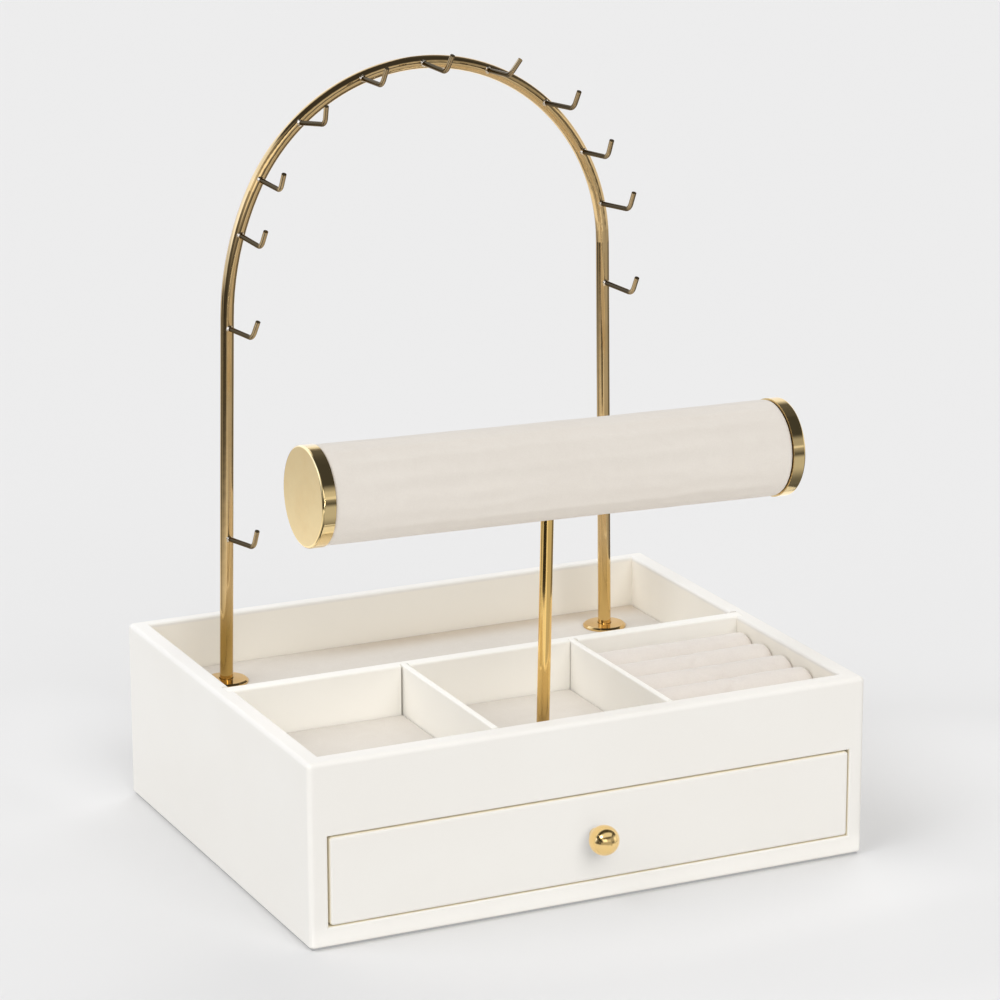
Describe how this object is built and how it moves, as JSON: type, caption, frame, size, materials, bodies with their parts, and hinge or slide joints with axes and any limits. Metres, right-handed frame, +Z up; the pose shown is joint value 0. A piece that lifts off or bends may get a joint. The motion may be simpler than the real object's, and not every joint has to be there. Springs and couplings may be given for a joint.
{
  "type": "jewelry stand with drawer",
  "caption": "Painted tray box with divided compartments, ring rolls and a drawer below, a brass arch with hooks and a padded T-bar for bracelets.",
  "frame": {"origin": "centre of the bounding box, on the plane the pads stand on", "axes": "+X to the right, +Y from the drawer front to the back, +Z up"},
  "size_m": [0.26, 0.2254, 0.3383],
  "materials": {
    "painted_wood": "warm white satin paint on smooth fibreboard",
    "drawer_wood": "warm white flat paint",
    "lining_felt": "short-pile greige lining",
    "card": "plain",
    "roll_velvet": "soft short-pile velvet",
    "velvet": "off-white suede-like velvet",
    "brass": "polished, light gold",
    "dowel_wood": "plain",
    "screw_steel": "zinc plated",
    "pad_rubber": "matte"
  },
  "bodies": {
    "case": {"left_side_panel": "painted_wood", "right_side_panel": "painted_wood", "back_panel": "painted_wood", "front_panel": "painted_wood", "bottom_panel": "painted_wood", "tray_floor": "painted_wood", "long_divider": "painted_wood", "short_divider_left": "painted_wood", "short_divider_right": "painted_wood", "rear_floor_liner": "lining_felt", "left_compartment_liner": "lining_felt", "middle_compartment_liner": "lining_felt", "ring_cushion_card": "card", "foot_pads": "pad_rubber", "arch_rod": "brass", "arch_flange_left": "brass", "arch_flange_right": "brass", "post_flange": "brass", "bar_post": "brass", "bar_end_cap_left": "brass", "bar_end_cap_right": "brass", "arch_screws": "screw_steel", "post_screw": "screw_steel", "bar_core": "dowel_wood", "bar_sleeve": "velvet", "ring_roll_1": "roll_velvet", "ring_roll_2": "roll_velvet", "ring_roll_3": "roll_velvet", "ring_roll_4": "roll_velvet", "ring_roll_5": "roll_velvet", "hook_01": "brass", "hook_02": "brass", "hook_03": "brass", "hook_04": "brass", "hook_05": "brass", "hook_06": "brass", "hook_07": "brass", "hook_08": "brass", "hook_09": "brass", "hook_10": "brass", "hook_11": "brass", "hook_12": "brass", "hook_13": "brass"},
    "drawer": {"drawer_front": "painted_wood", "drawer_left_side": "drawer_wood", "drawer_right_side": "drawer_wood", "drawer_back": "drawer_wood", "drawer_bottom": "drawer_wood", "drawer_liner": "lining_felt", "drawer_knob": "brass", "knob_screw": "screw_steel"}
  },
  "joints": [
    {"name": "drawer_slide", "type": "slide", "parent": "case", "child": "drawer", "axis": [0, -1, 0], "range_m": [0, 0.135]}
  ]
}
